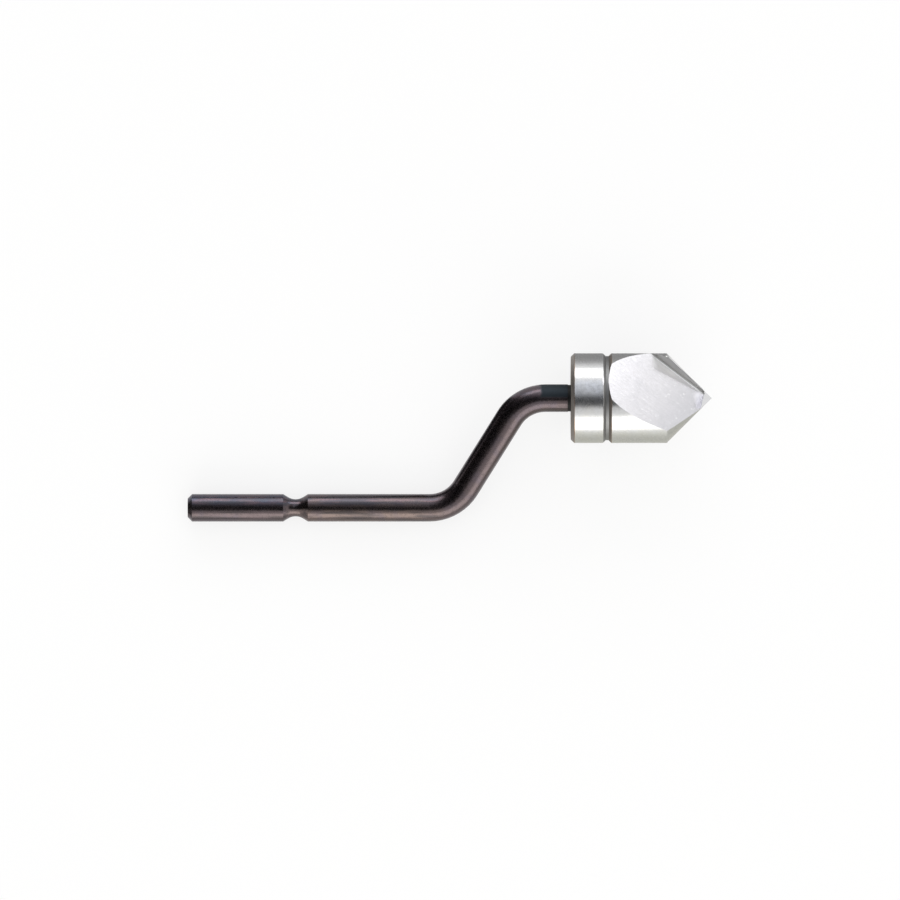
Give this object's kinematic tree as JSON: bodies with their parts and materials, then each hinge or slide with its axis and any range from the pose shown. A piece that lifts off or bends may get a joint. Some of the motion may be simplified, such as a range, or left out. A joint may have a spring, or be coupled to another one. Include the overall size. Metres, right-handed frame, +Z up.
{
  "type": "countersink bit",
  "caption": "Cranked countersink bit: a turned ninety-degree head with one ground flute on a bent round shank with a retaining groove.",
  "frame": {"origin": "on the ground under the middle of the bit's overall length and width, as it lies on its side", "axes": "+X along the head's axis from the shank to the point, +Y from the tail's side towards the head's side, +Z up, the way the flute's floor mostly faces"},
  "size_m": [0.0606, 0.0194, 0.0104],
  "materials": {
    "blackened_steel": "black oxide on drawn steel rod, satin, with a brown and violet cast",
    "bright_tool_steel": "turned and ground bright tool steel, with faint heat tint beside the shank and in the groove"
  },
  "bodies": {
    "root": {"cranked_shank": "blackened_steel", "countersink_head": "bright_tool_steel"}
  },
  "joints": []
}
